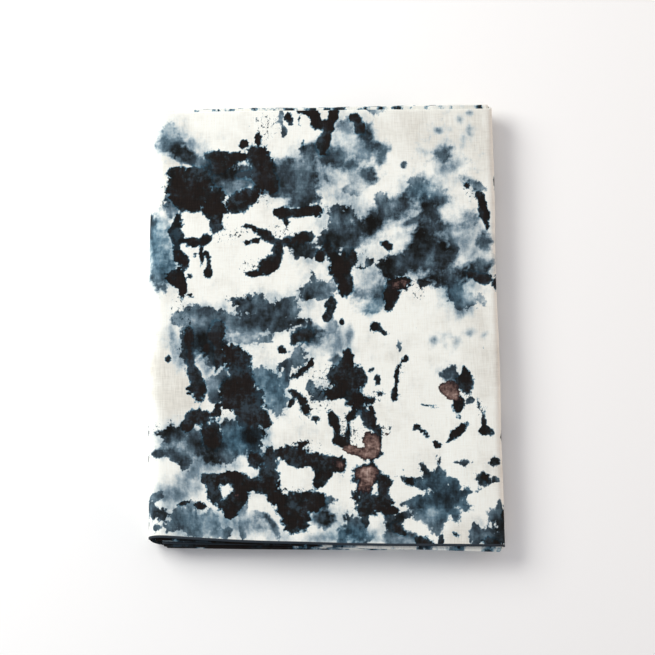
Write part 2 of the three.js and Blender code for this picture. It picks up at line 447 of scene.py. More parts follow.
# Pools of dye on the top of the folded cloth, placed in mm right of and up from its middle,
# with half their width and height, their turn in degrees and how strong the dye is.
blackPools = [
    # right, up, wide, tall, turn, load
    # back left
    (-112, 111, 12, 15, 0, 1.0),
    (-98, 114, 10, 14, 0, 1.0),
    (-106, 99, 11, 8, 0, 1.0),
    (-118, 124, 5, 3, 0, 0.95),
    (-85, 101, 9, 10, 0, 1.0),
    (-86, 91, 9, 6, 0, 1.0),
    (-83, 81, 4.5, 10, -16, 1.0),
    (-61, 102, 13, 8, 28, 1.0),
    (-68, 99, 6, 7, 0, 1.0),
    (-52, 137, 9, 10, 0, 1.0),
    (-46, 123, 9, 13, 0, 1.0),
    (-85, 137, 8, 7, 0, 1.0),
    (-76, 135, 9, 6, -5, 1.0),
    (-67, 136, 5, 3, 0, 1.0),
    (-82, 129, 9, 6, 0, 0.8),
    (-62, 121, 8, 5, 0, 0.75),
    (-64, 147, 3.5, 5, -25, 0.95),
    (-51, 151, 2.5, 5, 0, 0.8),
    (-40, 113, 6, 6, 0, 0.8),
    (-27, 167, 3.5, 5, 20, 0.95),
    (-18, 166, 1, 4, 0, 0.8),
    (-14, 145, 1.5, 5, 0, 0.75),
    (-14, 176, 9, 4, 0, 1.0),
    (-7, 171, 6, 4, -35, 1.0),
    (-3, 163, 7, 5, -45, 1.0),
    (-31, 91, 7, 5, 0, 1.0),
    (-20, 92, 8, 4, 0, 1.0),
    (-9, 91, 11, 5, 0, 1.0),
    (-28, 84, 2, 4, 0, 0.8),
    (-47, 74, 10, 3.8, -38, 1.0),
    (-60, 66, 3, 2, 0, 0.9),
    (-57, 80, 6, 1.6, 5, 0.85),
    (-53, 67, 4, 2.5, 0, 0.9),
    (-42, 68, 5, 3, 0, 0.95),
    (-36, 59, 4, 11, -6, 1.0),
    (-43, 48, 8, 6, 38, 1.0),
    (-54, 40, 9, 3, 0, 1.0),
    (-14, 70, 7, 5, 12, 1.0),
    (-26, 67, 7, 3.5, 0, 0.85),
    (-3, 54, 4, 5, 0, 1.0),
    (-115, 73, 6, 15, 0, 1.0),
    (-112, 51, 5, 9, 26, 1.0),
    (-116, 36, 8, 7, 0, 1.0),
    (-110, 29, 4, 12, 4, 1.0),
    (-101, 65, 10, 3.5, 0, 1.0),
    (-93, 66, 4.5, 5, 0, 1.0),
    (-96, 55, 1.8, 6, -5, 0.9),
    (-91, 55, 2.2, 2.2, 0, 0.9),
    (-90, 47, 1.6, 6, 6, 0.9),
    (-90, 41, 4, 4.5, 0, 0.95),
    (-102, 55, 1.5, 1.5, 0, 0.85),
    (-104, 38, 1.8, 1.8, 0, 0.75),
    (-103, 21, 2, 1.6, 0, 0.8),
    (-125.5, 96, 1.6, 2.6, 0, 0.75),
    # back right
    (3, 150, 5, 14, 0, 1.0),
    (-2, 143, 5, 8, 0, 0.85),
    (10, 172, 4.5, 7, 0, 1.0),
    (5, 162, 5, 5, 0, 1.0),
    (26, 168, 5, 4.5, -15, 1.0),
    (31, 161, 4.5, 8, 12, 1.0),
    (129, 90, 4.5, 14, 10, 1.0),
    (125, 103, 3, 8, 25, 0.9),
    (114, 112, 2, 2.5, 0, 0.8),
    (50, 63, 3, 6, 35, 0.9),
    (14, 48, 9, 12, 0, 1.0),
    (17, 32, 6.5, 11, 0, 1.0),
    (4, 60, 5, 7, 0, 0.85),
    (25, 54, 2.5, 8, 8, 0.8),
    (31, 45, 4, 1.4, 0, 0.75),
    (59, 32, 11, 5.5, 8, 1.0),
    (54, 24, 7, 7, -25, 1.0),
    (52, 15, 3, 5, -20, 0.9),
    (121, 38, 10, 5, -8, 0.95),
    (129, 36, 6, 4, 0, 0.95),
    # middle left
    (-83, -9, 7, 12, 0, 0.92),
    (-81, -27, 4.5, 13, -8, 0.95),
    (-91, -22, 3, 4, 0, 0.8),
    (-105, -14, 4, 11, 0, 0.88),
    (-104, -32, 4, 9, 8, 0.9),
    (-100, -44, 5, 8, 12, 1.0),
    (-98, -56, 7, 8, 0, 1.0),
    (-120, -32, 2.5, 3, -20, 0.8),
    (-15, -10, 8, 7, 0, 0.8),
    (-23, -13, 3, 4.5, 0, 0.95),
    (-32, -22, 2.6, 3, 0, 0.95),
    (-68, -30, 10, 11, 0, 1.0),
    (-64, -46, 9, 9, 0, 1.0),
    (-73, -55, 7, 8, 0, 1.0),
    (-60, -60, 15, 11, 0, 1.0),
    (-75, -67, 5, 3, 0, 1.0),
    (-58, -75, 11, 11, 0, 1.0),
    (-46, -80, 5, 7, 0, 1.0),
    (-98, -77, 10, 7, 8, 1.0),
    (-107, -83, 5, 6, 0, 1.0),
    (-87, -75, 4, 2, -8, 0.9),
    (-88, -93, 9, 11, 0, 1.0),
    (-82.5, -71, 1.8, 6.5, 0, 1.0),
    (-27, -65, 2, 2.6, 0, 0.95),
    (-23, -57, 6, 3.4, -35, 1.0),
    (-17, -63, 6, 3.4, -20, 1.0),
    (-15, -70, 4.5, 3, -40, 0.95),
    (-7, -77, 2.6, 2, 0, 0.9),
    (-10, -33, 2, 4.5, -5, 0.9),
    (-15, -38, 3.4, 2, 40, 0.9),
    (-21, -43, 4, 1.8, 30, 0.9),
    # middle right
    (6, 14, 4, 7, -8, 1.0),
    (3, 5, 4.5, 4, 0, 0.9),
    (14.5, 1, 2.2, 3, 0, 1.0),
    (40.5, -3, 4.6, 3, -10, 1.0),
    (46, -7, 5, 1.7, -42, 1.0),
    (64.5, -28, 2.2, 2.8, 30, 0.95),
    (59.5, -37, 1.3, 5, -20, 0.8),
    (57, -44, 1.7, 9, -11, 1.0),
    (55.5, -55, 2.8, 7, -8, 1.0),
    (42, -45, 2.2, 3.6, 10, 1.0),
    (37, -37, 1.4, 1.6, 0, 0.8),
    (36, -60, 4, 3.2, 0, 0.9),
    (37, -68, 2, 3, 20, 1.0),
    (43, -55, 3.4, 1.5, -30, 0.7),
    (43, -83, 1.8, 2.6, 20, 0.85),
    (52, -82, 1.6, 1.6, 0, 0.7),
    (17, -43, 13, 12, 0, 1.0),
    (8, -56, 9, 4.5, -5, 1.0),
    (19, -29, 5, 9, 0, 1.0),
    (30, -43, 4, 9, 0, 1.0),
    (25, -62, 7, 9, 0, 1.0),
    (20, -75, 3.5, 5, 0, 0.95),
    (34, -77, 5, 9, 22, 1.0),
    (41, -91, 3.6, 11, 6, 1.0),
    (39, -105, 6, 3, 20, 1.0),
    (13, -94, 7, 4, -20, 0.95),
    (7, -80, 4, 11, 22, 1.0),
    (18, -87, 2, 7, 0, 0.75),
    (105, -45, 4, 5, 0, 0.7),
    (103, -66, 5, 11, 0, 1.0),
    (111, -46, 5, 9, 0, 1.0),
    (109, -36, 2, 5, 8, 1.0),
    (119, -64, 1, 5, 15, 0.75),
    (123, -79, 2, 7, 0, 1.0),
    (124, -87, 5.5, 4, 0, 1.0),
    (103, -86, 10, 4.5, 40, 1.0),
    (87, -95, 3, 2.6, 0, 0.95),
    (82, -66, 6, 1.4, -8, 0.75),
    (72, -82.5, 3.8, 2.6, -5, 1.0),
    (77, -86.5, 5, 1.3, -46, 1.0),
    # front left
    (-110, -148, 6, 2, 14, 0.95),
    (-96, -148, 5, 2.4, 14, 1.0),
    (-55, -110, 6, 7, 0, 1.0),
    (-88, -127, 8, 5, -5, 1.0),
    (-73, -125, 14, 5, 0, 1.0),
    (-85, -135, 6, 11, 8, 1.0),
    (-73, -149, 8, 10, 0, 1.0),
    (-66, -137, 7, 10, -12, 1.0),
    (-54, -129, 8, 6, 0, 1.0),
    (-43, -123, 7, 13, 0, 1.0),
    (-43, -108, 5, 7, 0, 0.8),
    (-25, -105, 17, 6, 0, 1.0),
    (-21, -112, 9, 4, 0, 1.0),
    (-18, -96, 5, 2, 15, 0.85),
    (-8, -108, 6, 6, 0, 1.0),
    (-25, -145, 14, 11, 0, 1.0),
    (-24, -157, 12, 9, 0, 1.0),
    (-40, -137, 7, 6, 0, 1.0),
    (-7, -142, 10, 8, 0, 1.0),
    (0, -112, 8, 8, 0, 1.0),
    (-4, -122, 5, 9, -35, 1.0),
    # front right
    (9, -111, 8, 6, -20, 1.0),
    (31, -120, 11, 8, 0, 1.0),
    (31, -129, 5, 7, 0, 1.0),
    (45, -128, 5.5, 8, 0, 0.92),
    (33, -143, 8, 8, 0, 1.0),
    (29, -153, 3.4, 8, 0, 1.0),
    (45, -142, 7, 9, 0, 1.0),
    (53, -148, 6, 3.6, -15, 1.0),
    (23, -137, 2.4, 4, 20, 0.75),
    (65, -124, 5, 3.6, 0, 0.75),
    (56, -163, 9, 4, -38, 0.9),
    (74, -173, 7, 5, -18, 1.0),
    (88, -172, 2, 6, 0, 1.0),
    (99, -166, 3, 2, -20, 0.65),
    (123, -124, 3, 4, 0, 0.7),
    (126, -172, 9, 4, 0, 0.8),
    # over the right-hand fold
    (139, 113, 1.6, 5, 0, 0.9),
    (138, 33, 2.4, 6, 0, 0.9),
    (140, -30, 1.6, 3.5, 0, 0.8),
    (140, -88, 2.2, 6, 0, 1.0),
    (139, -110, 2, 3, 0, 0.7),
    (138, -150, 2.6, 7, 0, 0.9),
    (139, -168, 2.6, 6, 0, 1.0),
]

slatePools = [
    # right, up, wide, tall, turn, depth of colour
    # back left
    (-123, 160, 7, 6, 0, 0.32),
    (-117, 150, 7, 6, 20, 0.36),
    (-128, 147, 6, 5, 0, 0.34),
    (-112, 139, 11, 7, -15, 0.76),
    (-103, 132, 11, 5, -40, 0.78),
    (-79, 119, 15, 12, 0, 0.72),
    (-88, 131, 8, 8, 0, 0.88),
    (-63, 122, 9, 7, 0, 0.88),
    (-33, 120, 22, 14, 0, 0.77),
    (-15, 121, 10, 15, 0, 0.72),
    (-15, 103, 12, 9, 0, 0.77),
    (-141, -88, 3, 5, 0, 0.85),
    (-141, -114, 3, 5, 0, 0.85),
    (-8, 141, 10, 6, 0, 0.86),
    (-70, 110, 12, 4, 20, 0.62),
    (-121, 96, 5, 14, 0, 0.5),
    (-138, 80, 6, 10, 0, 0.72),
    (-129, 62, 11, 17, 0, 0.46),
    (-132, 40, 7, 12, 0, 0.56),
    (-124, 42, 7, 8, 0, 0.58),
    (-127, 27, 1.6, 5, 25, 0.5),
    (-14, 60, 8, 7, 0, 0.78),
    (-26, 66, 9, 5, 0, 0.75),
    (-34, 169, 2.5, 7, 0, 0.5),
    (-32, 158, 2, 4, 0, 0.6),
    (-37, 107, 4, 3, 0, 0.6),
    # back right
    (35, 154, 6, 9, 10, 0.84),
    (34, 139, 9, 8, 0, 0.48),
    (45, 143, 8, 3.4, -16, 0.6),
    (48, 136, 3, 6, -35, 0.6),
    (20, 162, 8, 6, 0, 0.46),
    (14, 137, 8, 7, 0, 0.5),
    (5, 134, 8, 7, 0, 0.62),
    (24, 121, 7, 9, 0, 0.46),
    (38, 119, 5, 7, 10, 0.86),
    (23, 129, 3.4, 3, 0, 0.7),
    (24, 108, 8, 4, 0, 0.42),
    (4, 116, 1.6, 5, 10, 0.5),
    (42, 176, 7, 5, 0, 0.46),
    (65, 130, 2.6, 2.4, 0, 0.6),
    (97, 138, 7, 7, 0, 0.58),
    (78, 112, 9, 8, 0, 0.44),
    (93, 105, 6, 7, 0, 0.36),
    (47, 101, 5, 6, 0, 0.46),
    (28, 76, 14, 10, 25, 0.84),
    (44, 86, 17, 9, 33, 0.88),
    (62, 98, 14, 8, 40, 0.8),
    (85, 90, 9, 15, 0, 0.76),
    (80, 70, 9, 12, 0, 0.86),
    (87, 55, 18, 14, 0, 0.92),
    (66, 50, 16, 9, 22, 0.88),
    (54, 46, 9, 7, 0, 0.86),
    (99, 76, 9, 5, -30, 0.86),
    (103, 62, 4, 9, 0, 0.82),
    (117, 84, 8, 7, 0, 0.46),
    (107, 74, 7, 7, 0, 0.4),
    (127, 66, 6, 7, 0, 0.7),
    (125, 50, 9, 5, 0, 0.5),
    (69, 84, 7, 3.4, 25, 0.48),
    (15, 90, 9, 7, 0, 0.82),
    (13, 76, 7, 10, 0, 0.76),
    (4, 66, 7, 12, 0, 0.88),
    (18, 52, 8, 9, 0, 0.86),
    (24, 66, 8, 6, 0, 0.78),
    (38, 48, 3, 3, 0, 0.72),
    (45, 25, 5, 10, -20, 0.7),
    (40, 14, 9, 5, 20, 0.5),
    (31, 25, 10, 5, 0, 0.48),
    (-1, 27, 6, 8, 0, 0.8),
    (7, 27, 4, 9, 0, 0.46),
    (121, 113, 9, 3, -38, 0.68),
    (120, 40, 14, 7, -6, 0.9),
    (96, 36, 11, 7, 0, 0.82),
    (103, 27, 7, 8, -25, 0.64),
    (109, 18, 7, 7, -25, 0.52),
    (117, 17, 3, 5, 30, 0.5),
    (124, 19, 4, 4, 0, 0.36),
    # middle left
    (-97, 5, 13, 7, 0, 0.78),
    (-84, 2, 9, 9, 0, 0.92),
    (-99, -10, 10, 12, 0, 0.66),
    (-106, -24, 6, 16, 5, 0.72),
    (-86, -20, 9, 14, -8, 0.82),
    (-112, 2, 7, 5, 0, 0.5),
    (-66, 0, 14, 9, 0, 0.56),
    (-55, -6, 7, 11, 0, 0.54),
    (-64, -13, 9, 4, 0, 0.42),
    (-61, 16, 10, 5, -4, 0.72),
    (-51, 17, 7, 7, 0, 0.64),
    (-36, 8, 12, 9, 0, 0.8),
    (-27, 13, 6, 6, 0, 0.76),
    (-20, 3, 7, 3.4, -12, 0.82),
    (-45, 4, 8, 7, 0, 0.66),
    (-35, -3, 9, 4, 0, 0.72),
    (-43, -13, 4, 4, 0, 0.4),
    (-9, 26, 10, 6.5, 0, 0.8),
    (-8, 34, 2, 5, 0, 0.7),
    (-12, -9, 11, 8, 0, 0.8),
    (-20, -29, 6.5, 7, 0, 0.6),
    (-31, -34, 5.5, 3.4, 15, 0.82),
    (-28, -43, 4, 8, -15, 0.62),
    (-77, -47, 5.5, 7, 0, 0.68),
    (-50, -43, 10, 7, 0, 0.66),
    (-41, -51, 10, 10, 0, 0.58),
    (-37, -64, 7, 9, 0, 0.56),
    (-86, -53, 6, 8, 0, 0.56),
    (-83, -61, 6, 4, 0, 0.78),
    (-117, -91, 11, 8, 0, 0.78),
    (-113, -106, 10, 7, 0, 0.76),
    (-102, -97, 9, 12, 0, 0.6),
    (-66, -96, 16, 11, 0, 0.76),
    (-73, -90, 8, 9, 0, 0.82),
    (-55, -93, 7, 9, 0, 0.8),
    (-63, -97, 4, 3, 0, 0.62),
    (-11, -51, 2.6, 4, 0, 0.66),
    (-128, -109, 6, 2.2, 0, 0.72),
    (-3, -57, 5, 6, 0, 0.66),
    # middle right
    (99, -40, 7, 7, 0, 0.86),
    (10, -32, 6, 6, 0, 0.74),
    (60, -19, 1.8, 4.5, 12, 0.44),
    (112, -61, 3, 2.6, 20, 0.82),
    (31, -72, 7, 5, 0, 0.7),
    (6, -2, 4, 9, 0, 0.48),
    (79, 32, 5, 3.4, 0, 0.74),
    # front left
    (-110, -114, 9, 5, -25, 0.82),
    (-87, -106, 9, 9, 0, 0.88),
    (-75, -108, 4, 8, 0, 0.56),
    (-51, -130, 7, 6, 0, 0.78),
    (-45, -111, 7, 6, 0, 0.7),
    (-128, -142, 4, 4, 0, 0.56),
    (-118, -167, 5, 5, 0, 0.5),
    (-106, -150, 5, 4, 0, 0.46),
    (-134, -152, 5, 7, 0, 0.78),
    (-125, -160, 3.4, 8, 0, 0.68),
    (-131, -168, 2.6, 3, 0, 0.72),
    (-141, -164, 2, 12, 0, 0.8),
    (-113, -158, 6, 9, 0, 0.62),
    (-103, -161, 8, 8, 0, 0.5),
    (-97, -168, 12, 6, 0, 0.56),
    (-88, -161, 5, 12, 0, 0.34),
    (-80, -170, 6, 4, 0, 0.5),
    (-63, -150, 2.4, 10, -14, 0.62),
    (-57, -163, 8, 8, 0, 0.3),
    (-49, -154, 5, 2, -30, 0.5),
    (-42, -163, 2.6, 8, 20, 0.56),
    (-64, -169, 2.4, 5, 10, 0.5),
    (0, -154, 8, 8, 0, 0.84),
    (2, -141, 6, 4, 0, 0.66),
    # front right
    (21, -160, 7, 9, 0, 0.86),
    (12, -169, 4, 6, 0, 0.58),
    (26, -169, 8, 7, 0, 0.56),
    (52, -160, 6, 8, 0, 0.86),
    (60, -153, 8, 2, 14, 0.78),
    (64, -168, 8, 4, -25, 0.8),
    (48, -170, 7, 5, 0, 0.56),
    (60, -173, 11, 4, 0, 0.44),
    (114, -168, 4, 9, 0, 0.58),
    (125, -168, 9, 7, 0, 0.84),
    (131, -152, 6, 5, 0, 0.7),
    (134, -146, 2, 8, 0, 0.76),
    (135, -162, 3, 9, 0, 0.84),
    (131, -124, 2.6, 2.6, 0, 0.6),
    (107, -110, 6, 2.2, 0, 0.74),
    (131, -109, 4.5, 2.2, 15, 0.78),
    (122.5, -124, 5, 5, 0, 0.84),
    # the star-shaped splash
    (90, -138, 10, 10, 0, 0.62),
    (72, -141, 13, 5, 6, 0.6),
    (70, -126, 14, 4.6, -14, 0.72),
    (81, -122, 4, 12, 30, 0.68),
    (88.5, -120, 4, 12, 4, 0.72),
    (99, -125, 9, 3.4, -14, 0.62),
    (102, -134, 11, 4.4, 8, 0.7),
    (104, -143, 11, 4.4, -22, 0.7),
    (97, -151, 9, 4.4, -38, 0.64),
    (88, -155, 4.4, 8, 0, 0.6),
    (75, -151, 9, 5, 20, 0.66),
    (80, -157, 3.6, 5, 0, 0.58),
    (85, -163, 4, 5, 0, 0.82),
    (80, -151, 5, 5, 0, 0.42),
    (96, -138, 3, 9, 0, 0.76),
]

palePools = [
    # right, up, wide, tall, turn, load
    (-122, 158, 11, 12, 0, 0.3),
    (-128, 145, 9, 9, 0, 0.3),
    (-104, 146, 6, 7, 0, 0.5),
    (-95, 139, 5, 9, -20, 0.42),
    (-57, 114, 6, 2, 10, 0.0),
    (0, 118, 14, 18, 0, 0.38),
    (15, 150, 12, 14, 0, 0.32),
    (25, 100, 14, 12, 0, 0.34),
    (20, 86, 9, 9, 0, 0.5),
    (98, 149, 3, 6, -35, 0.34),
    (104, 158, 3, 3, 0, 0.34),
    (112, 166, 3, 4, 0, 0.5),
    (121, 172, 3, 3, 0, 0.45),
    (96, 160, 6, 2, 35, 0.3),
    (92, 158, 6, 3, -30, 0.3),
    (112, 148, 4, 9, 0, 0.28),
    (122, 158, 4, 8, 0, 0.24),
    (100, 172, 4, 3, 0, 0.28),
    (118, 154, 4, 6, 0, 0.36),
    (80, 142, 9, 4, -30, 0.42),
    (96, 126, 6, 7, 0, 0.5),
    (106, 130, 6, 6, 0, 0.5),
    (65, 111, 9, 2, 0, 0.36),
    (66, 72, 12, 8, 40, 0.3),
    (30, 52, 5, 8, 0, 0.4),
    (38, 36, 13, 13, 0, 0.46),
    (114, 70, 13, 15, 0, 0.42),
    (118, 55, 15, 8, 0, 0.36),
    (120, 28, 14, 7, 0, 0.3),
    (110, 14, 9, 7, 0, 0.42),
    (38, 12, 10, 6, 0, 0.42),
    (3, 82, 8, 8, 0, 0.4),
    (7, -15, 14, 13, 0, 0.5),
    (20, -10, 3, 9, 0, 0.4),
    (-91, -36, 7, 17, 0, 0.5),
    (-118, -14, 6, 16, 0, 0.5),
    (-111, -34, 6, 11, 0, 0.46),
    (-64, -13, 15, 7, 0, 0.46),
    (-123, -98, 8, 14, 0, 0.42),
    (-98, -114, 12, 12, 0, 0.52),
    (-84, -115, 8, 8, 0, 0.44),
    (-67, -113, 6, 6, 0, 0.4),
    (-103, -130, 9, 10, 0, 0.36),
    (-118, -140, 14, 12, 0, 0.56),
    (-100, -163, 24, 12, 0, 0.62),
    (-60, -163, 16, 11, 0, 0.44),
    (-36, -169, 9, 6, 0, 0.34),
    (-8, -171, 14, 5, 0, 0.4),
    (14, -168, 18, 8, 0, 0.42),
    (36, -164, 3, 8, 0, 0.36),
    (55, -172, 16, 5, 0, 0.5),
    (86, -13, 3, 4, 0, 0.46),
    (95, -17, 2, 6, 20, 0.3),
    (98, -9, 7, 2, -20, 0.34),
    (104, -15, 3, 6, -30, 0.34),
    (115, -6, 4, 3, 0, 0.46),
    (126, -9, 3, 3, 0, 0.34),
    (105, 8, 3, 5, 0, 0.34),
    (80, -153, 5, 5, 0, 0.3),
    (0, -52, 7, 10, 0, 0.36),
    (119, 112, 10, 6, -38, 0.4),
]

# Where the rims of the slate and black ran out softly instead of drying crisp
softPools = [
    # right, up, wide, tall, turn, load
    (22, 138, 36, 34, 0, 1.0),
    (100, 140, 34, 32, 0, 1.0),
    (60, 85, 46, 24, 25, 0.9),
    (112, 62, 26, 34, 0, 1.0),
    (84, 52, 26, 20, 0, 0.8),
    (36, 25, 20, 18, 0, 1.0),
    (-28, 118, 32, 22, 0, 0.85),
    (-112, 146, 24, 18, 0, 1.0),
    (-130, 60, 14, 36, 0, 1.0),
    (-76, 116, 20, 12, 0, 0.8),
    (-95, -24, 14, 34, 0, 0.7),
    (5, -14, 20, 16, 0, 1.0),
    (-100, -105, 32, 14, 0, 0.9),
    (-104, -158, 24, 12, 0, 0.45),
    (-58, -161, 20, 14, 0, 0.8),
    (24, -168, 20, 9, 0, 0.8),
    (54, -170, 18, 7, 0, 0.8),
    (80, -152, 9, 9, 0, 0.8),
    (-66, -96, 16, 12, 0, 0.25),
    (-66, -5, 20, 12, 0, 0.5),
    (104, 24, 18, 14, 0, 0.6),
    (0, -154, 12, 12, 0, 0.9),
    (98, -44, 8, 8, 0, 0.8),
    (-92, 66, 26, 10, 0, 0.5),
    (122, -168, 14, 10, 0, 0.4),
]

# Where the black thinned out to a dark slate
thinPools = [
    # right, up, wide, tall, turn, load
    (-60, -55, 18, 22, 0, 0.8),
    (-64, -33, 8, 11, 0, 0.7),
    (-85, -14, 14, 22, 0, 0.9),
    (-104, -26, 10, 24, 0, 0.8),
    (-98, -77, 14, 9, 0, 0.8),
    (-56, -82, 12, 12, 0, 0.9),
    (-25, -104, 22, 8, 0, 0.7),
    (-73, -126, 18, 6, 0, 0.6),
    (-45, -118, 8, 14, 0, 0.7),
    (-52, 122, 14, 18, 0, 0.8),
    (-105, 108, 20, 18, 0, 0.4),
    (-61, 102, 14, 8, 20, 0.5),
    (15, -44, 14, 12, 0, 0.2),
    (-76, 130, 16, 10, 0, 0.6),
    (-14, 68, 9, 7, 0, 0.7),
    (3, 152, 8, 18, 0, 0.6),
    (30, 163, 8, 12, 0, 0.6),
    (121, 38, 14, 8, 0, 0.7),
    (-15, -11, 12, 8, 0, 0.8),
    (45, -134, 9, 14, 0, 0.7),
    (34, -78, 8, 10, 20, 0.8),
    (56, -165, 14, 8, -30, 0.6),
    (-40, 64, 8, 12, 0, 0.5),
    (-7, -142, 12, 9, 0, 0.5),
]

peppered = [
    # right, up, wide, tall, turn, load
    (-46, 163, 8, 10, 0, 1.0),
    (-57, 47, 8, 6, 0, 1.0),
    (-32, 76, 11, 6, 0, 1.0),
    (-66, 74, 8, 4, 0, 0.9),
    (-76, 70, 8, 8, 0, 0.7),
    (-45, 104, 6, 8, 0, 0.8),
    (-77, 95, 6, 7, 0, 0.8),
    (-122, 110, 4, 12, 0, 0.9),
    (-126, 97, 4, 5, 0, 0.8),
    (-110, 4, 10, 7, 0, 0.9),
    (-60, 21, 14, 4, 0, 0.9),
    (-112, 14, 7, 8, 0, 0.7),
    (0, -50, 10, 14, 0, 0.9),
    (-10, -65, 12, 12, 0, 0.7),
    (-18, -38, 10, 6, 40, 0.7),
    (16, -84, 6, 10, 0, 1.0),
    (26, -89, 8, 6, 0, 1.0),
    (40, -58, 7, 7, 0, 0.7),
    (46, -84, 6, 6, 0, 0.9),
    (36, -74, 4, 8, 0, 0.6),
    (109, -60, 6, 6, 0, 0.9),
    (60, -36, 4, 6, 0, 0.6),
    (120, -68, 4, 8, 0, 0.7),
    (74, 28, 7, 7, 0, 0.9),
    (119, 108, 6, 8, 40, 0.9),
    (32, 50, 5, 8, 0, 0.8),
    (-20, -97, 12, 4, 10, 0.8),
    (-4, -98, 6, 5, 0, 0.6),
    (-25, -132, 12, 4, 0, 0.7),
    (24, -137, 5, 7, 0, 0.9),
    (-78, -72, 8, 5, 0, 0.8),
    (-98, -148, 8, 5, 0, 0.8),
    (-130, -85, 4, 4, 0, 0.7),
]

rosePools = [
    # right, up, wide, tall, turn, load
    (38, -95, 6.5, 10, 10, 1.0),
    (22, -100, 9, 5.5, -8, 1.0),
    (34, -104, 7, 4.5, 10, 1.0),
    (27, -102, 5, 3, 0, 0.85),
    (31, -119, 11, 6.5, 0, 1.0),
    (31, -127, 6, 8, 0, 1.0),
    (97, -53, 10, 7.5, 0, 1.0),
    (103, -63, 3.6, 6, 0, 0.62),
    (60, 31, 12, 5.5, 10, 0.64),
    (9, -111, 7, 5, -30, 0.74),
    (-68, -138, 4, 4, 0, 0.62),
    (-46, 128, 4, 5, 0, 0.5),
    (43, -55, 3, 1.6, -30, 0.6),
    (48, -87, 2.6, 2, 0, 0.66),
    (52, -82, 1.6, 1.6, 0, 0.7),
]

# Where the undyed cloth is a greyer white
greyPools = [
    # right, up, wide, tall, turn, load
    (84, 160, 40, 24, 0, 0.6),
    (45, 150, 14, 20, 0, 0.3),
    (126, 146, 12, 36, 0, 0.6),
    (-118, 130, 12, 8, 0, 0.8),
    (-100, 82, 12, 10, 0, 0.3),
    (-112, -45, 26, 34, 0, 0.9),
    (102, -168, 12, 8, 0, 1.0),
    (-112, 145, 16, 20, 0, 0.4),
    (-5, 108, 16, 12, 0, 0.4),
    (125, -20, 16, 50, 0, 0.4),
]

bluePools = [
    # right, up, wide, tall, turn, load
    (-42, -52, 20, 22, 0, 0.65),
    (92, -136, 32, 26, 0, 0.6),
    (-64, -94, 22, 14, 0, 0.8),
    (-66, -33, 8, 11, 0, 0.6),
    (-125, 60, 20, 30, 0, 0.7),
    (-122, 158, 16, 20, 0, 0.4),
    (-95, -18, 20, 14, 0, 0.6),
    (105, 24, 20, 14, 0, 0.6),
    (80, 108, 18, 12, 0, 0.6),
    (40, 12, 14, 12, 0, 0.7),
    (20, -168, 24, 10, 0, 0.8),
    (-90, -160, 36, 16, 0, 0.5),
    (30, 140, 30, 24, 0, 0.4),
]

# How dark the folded edges that show below the top are, from left to right: along the back it is dye; along
# the front it is partly dye and partly painted shade, darkest on the left half
edgeDyeAndShade = {
    "front": [
        # right, black, slate
        (-140, 1.0, 1.0),
        (-30, 1.0, 1.0),
        (0, 0.2, 0.6),
        (40, 0.0, 0.4),
        (100, 0.0, 0.44),
        (140, 0.3, 0.3),
    ],
    "back": [
        # right, black, slate
        (-140, 0.0, 0.0),
        (-100, 0.1, 0.0),
        (-60, 0.36, 0.0),
        (60, 0.4, 0.0),
        (95, 0.0, 0.1),
        (140, 0.0, 0.0),
    ],
}


def wander(right, up):
    # Lets the pools' places stray, so that their outlines are as uneven as dye leaves them
    movedRight, movedUp = right.copy(), up.copy()
    for i in range(right.shape[0]):
        for j in range(right.shape[1]):
            for size, amount in ((22, 2.6), (9, 2.0)):
                stray = noise.noise_vector(Vector((right[i, j] / size, up[i, j] / size, size)))
                movedRight[i, j] += stray.x * amount
                movedUp[i, j] += stray.y * amount
    return movedRight, movedUp


def poolField(pools, right, up, spread=1.1, feather=0.0):
    # How much dye the pools leave at each place: 1 well inside a pool, a half at its rim, 0 outside.
    # The spread says how wide the rim is, the feather how long the tongues are that point outwards.
    # The longer a pool is, the more pointed are its ends.
    bare = np.ones_like(right)
    for x, y, wide, tall, turn, load in pools:
        a = math.radians(turn)
        dx, dy = right - x, up - y
        along = (dx * math.cos(a) + dy * math.sin(a)) / wide
        across = (-dx * math.sin(a) + dy * math.cos(a)) / tall
        small = min(wide, tall)
        rim = min(max(spread * small, 3.6 * spread), 10 * spread)
        point = mix(2.0, 1.35, smooth(1.2, 2.6, max(wide, tall) / small))
        away = ((abs(along) ** point + abs(across) ** point) ** (1 / point) - 1) * small
        angle = np.arctan2(across, along)
        tongues = max(5, round((wide + tall) * 0.42))
        wave = abs((angle / math.tau * tongues + 0.4 * np.sin(3 * angle + x)) % 1 - 0.5) * 2
        away += (wave - 0.5) * feather * min(small, 9)
        firm = 1.25 if small <= 3 else 1.05
        bare *= 1 - np.minimum(load * firm * smooth(rim / 2, -rim / 2, away), 1)
    return 1 - bare


def roamingField(seed, size):
    # The same kind of patches for the plies that hardly show, from a slow noise on the flat cloth
    field = np.zeros((len(flatAlong), len(flatAcross)))
    for i, along in enumerate(flatAlong):
        for j, across in enumerate(flatAcross):
            field[i, j] = noise.fractal(Vector((along / size, across / size, seed)), 0.8, 2.0, 3)
    return field


def poolDepth(pools, right, up):
    # The depth of colour: each pool covers the ones before it
    depths = np.full_like(right, 0.6)
    for pool in pools:
        grown = (*pool[:2], pool[2] * 1.15 + 1, pool[3] * 1.15 + 1, pool[4], 1.0)
        depths = mix(depths, pool[5], np.minimum(poolField([grown], right, up, 1.6), 1))
    return depths


